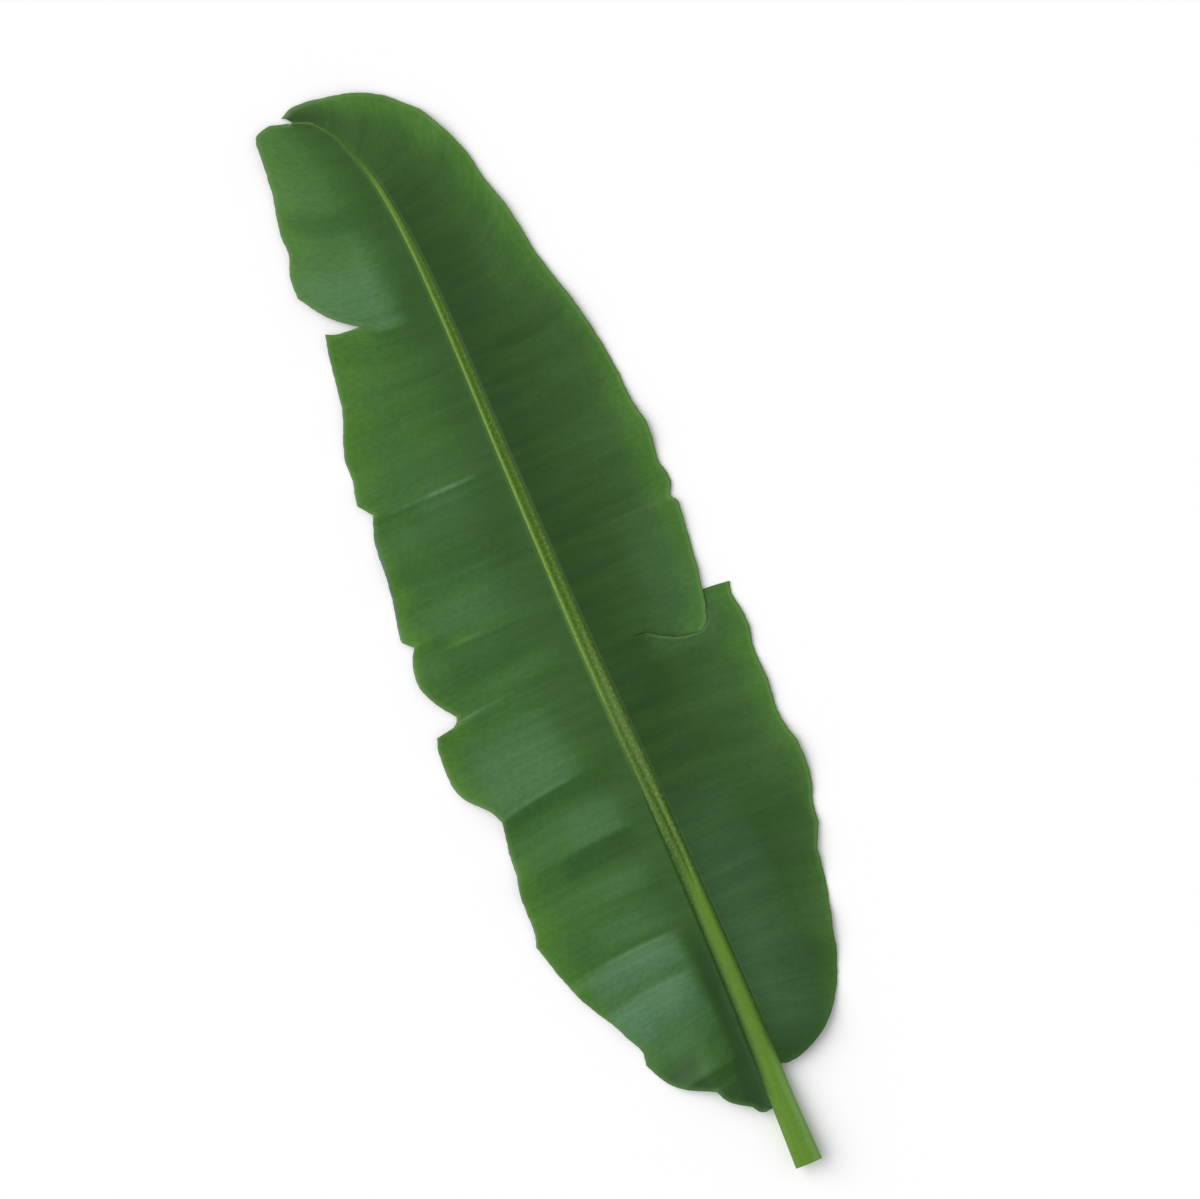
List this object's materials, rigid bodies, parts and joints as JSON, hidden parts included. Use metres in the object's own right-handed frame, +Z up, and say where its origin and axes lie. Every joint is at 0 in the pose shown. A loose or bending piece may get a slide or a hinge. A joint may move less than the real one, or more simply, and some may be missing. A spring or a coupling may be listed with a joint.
{
  "type": "abaca leaf",
  "caption": "Large fresh abaca leaf with a thick midrib and a short cut stalk, lying on its back, its blade folded, torn and notched along the edges.",
  "frame": {"origin": "centre of the leaf's box, on the surface that it lies on", "axes": "+Y from the cut stalk towards the tip, +X to the right half seen from above with the tip away, +Z up through the upper face"},
  "size_m": [0.3664, 1.2749, 0.022],
  "materials": {
    "blade": "fresh waxy leaf, satin, deep green with lighter yellow-green edges and fine cross veins",
    "midrib": "smooth fleshy midrib and stalk, satin, yellow-green"
  },
  "bodies": {
    "root": {"leaf_blade": "blade", "midrib_petiole": "midrib"}
  },
  "joints": []
}
